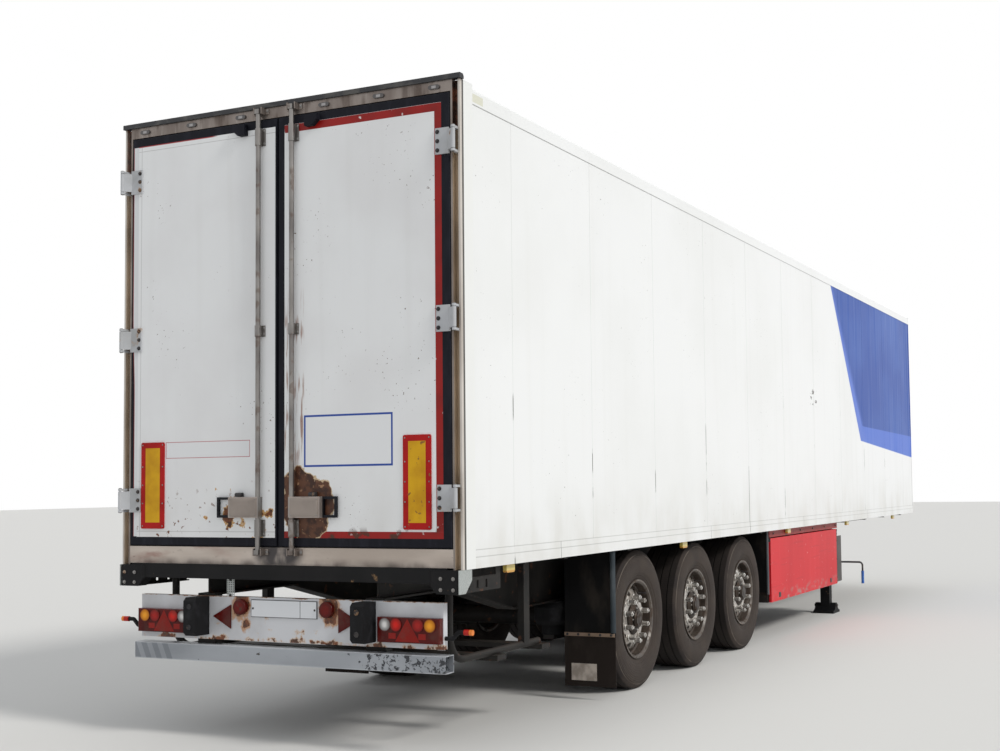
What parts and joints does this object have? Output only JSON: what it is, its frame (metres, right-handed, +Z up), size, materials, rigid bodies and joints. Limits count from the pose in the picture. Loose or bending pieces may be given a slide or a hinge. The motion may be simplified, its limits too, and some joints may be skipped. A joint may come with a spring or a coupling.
{
  "type": "refrigerated box semi trailer",
  "caption": "Long white insulated box semi trailer on three axles with rear double doors, landing legs, a pallet box and a nose mounted cooling unit.",
  "frame": {"origin": "on the ground, under the middle of the trailer's outline, on its centre plane", "axes": "+X forward to the tractor, +Y to the trailer's left, +Z up"},
  "size_m": [13.94, 2.794, 4.05],
  "materials": {
    "white_panel": "satin white laminate, slightly dirty",
    "floor": "dark insulated floor with grit",
    "frame_steel": "dull stainless with brown stains",
    "dark_trim": "matt",
    "sill_aluminium": "scuffed",
    "hinge_steel": "white painted",
    "lamp_lens": "gloss lens",
    "black_steel": "satin black, dusty",
    "galvanised": "galvanised",
    "chassis_steel": "dusty black paint",
    "bright_steel": "worn bright steel",
    "white_steel": "white paint with rust at the edges",
    "guard_steel": "peeling white paint",
    "black_rubber": "matt",
    "black_seal": "matt",
    "marker_board": "reflective red and yellow",
    "red_panel": "satin red",
    "tank_aluminium": "dull",
    "unit_housing": "white with dark grille",
    "coupling_steel": "dull",
    "tyre": "dusty",
    "wheel_alloy": "dull, dirty"
  },
  "bodies": {
    "trailer": {"air_springs": "black_rubber", "air_tanks": "black_steel", "axles": "chassis_steel", "chassis_rails": "chassis_steel", "corner_plates": "galvanised", "coupler_plate": "chassis_steel", "cross_members": "chassis_steel", "floor_panel": "floor", "front_wall": "white_panel", "fuel_tank": "tank_aluminium", "hinge_lugs": "hinge_steel", "kingpin": "bright_steel", "lamp_panel": "white_steel", "landing_crank": "black_steel", "landing_legs": "black_steel", "line_couplings": "coupling_steel", "lock_keepers": "frame_steel", "marker_lamps": "lamp_lens", "mudguards": "black_rubber", "pallet_box": "chassis_steel", "pallet_box_fascia": "red_panel", "rear_crossbeam": "black_steel", "rear_header": "frame_steel", "rear_lamps": "lamp_lens", "rear_posts": "frame_steel", "rear_sill": "sill_aluminium", "refrigeration_unit": "unit_housing", "roof_gutter": "dark_trim", "roof_panel": "white_panel", "rubber_buffers": "black_rubber", "side_wall_left": "white_panel", "side_wall_right": "white_panel", "storage_cradle": "chassis_steel", "suspension_hangers": "chassis_steel", "trailing_arms": "chassis_steel", "underrun_guard": "guard_steel"},
    "rear_door_left": {"door_left": "white_panel", "door_seal_left": "black_seal", "door_hinges_left": "hinge_steel", "door_lock_left": "bright_steel", "marker_board_left": "marker_board"},
    "pallet_flap_left": {"pallet_door_left": "red_panel"},
    "rear_door_right": {"door_right": "white_panel", "door_seal_right": "black_seal", "door_hinges_right": "hinge_steel", "door_lock_right": "bright_steel", "marker_board_right": "marker_board"},
    "pallet_flap_right": {"pallet_door_right": "red_panel"},
    "wheel_body_rear_left": {"tyre_rear_left": "tyre", "wheel_rear_left": "wheel_alloy"},
    "wheel_body_rear_right": {"tyre_rear_right": "tyre", "wheel_rear_right": "wheel_alloy"},
    "wheel_body_middle_left": {"tyre_middle_left": "tyre", "wheel_middle_left": "wheel_alloy"},
    "wheel_body_middle_right": {"tyre_middle_right": "tyre", "wheel_middle_right": "wheel_alloy"},
    "wheel_body_front_left": {"tyre_front_left": "tyre", "wheel_front_left": "wheel_alloy"},
    "wheel_body_front_right": {"tyre_front_right": "tyre", "wheel_front_right": "wheel_alloy"}
  },
  "joints": [
    {"name": "rear_door_left_hinge", "type": "hinge", "parent": "trailer", "child": "rear_door_left", "pos_m": [-6.902, 1.28, 2.585], "axis": [0, 0, -1], "range_deg": [0, 265]},
    {"name": "pallet_flap_left_hinge", "type": "hinge", "parent": "trailer", "child": "pallet_flap_left", "pos_m": [0.8, 1.225, 0.999], "axis": [1, 0, 0], "range_deg": [0, 90]},
    {"name": "rear_door_right_hinge", "type": "hinge", "parent": "trailer", "child": "rear_door_right", "pos_m": [-6.902, -1.28, 2.585], "axis": [0, 0, 1], "range_deg": [0, 265]},
    {"name": "pallet_flap_right_hinge", "type": "hinge", "parent": "trailer", "child": "pallet_flap_right", "pos_m": [0.8, -1.225, 0.999], "axis": [-1, 0, 0], "range_deg": [0, 90]},
    {"name": "wheel_rear_left_spin", "type": "hinge", "parent": "trailer", "child": "wheel_body_rear_left", "pos_m": [-3.94, 1.0195, 0.536], "axis": [0, 1, 0], "continuous": true},
    {"name": "wheel_rear_right_spin", "type": "hinge", "parent": "trailer", "child": "wheel_body_rear_right", "pos_m": [-3.94, -1.0195, 0.536], "axis": [0, 1, 0], "continuous": true},
    {"name": "wheel_middle_left_spin", "type": "hinge", "parent": "trailer", "child": "wheel_body_middle_left", "pos_m": [-2.63, 1.0195, 0.536], "axis": [0, 1, 0], "continuous": true},
    {"name": "wheel_middle_right_spin", "type": "hinge", "parent": "trailer", "child": "wheel_body_middle_right", "pos_m": [-2.63, -1.0195, 0.536], "axis": [0, 1, 0], "continuous": true},
    {"name": "wheel_front_left_spin", "type": "hinge", "parent": "trailer", "child": "wheel_body_front_left", "pos_m": [-1.32, 1.0195, 0.536], "axis": [0, 1, 0], "continuous": true},
    {"name": "wheel_front_right_spin", "type": "hinge", "parent": "trailer", "child": "wheel_body_front_right", "pos_m": [-1.32, -1.0195, 0.536], "axis": [0, 1, 0], "continuous": true}
  ]
}
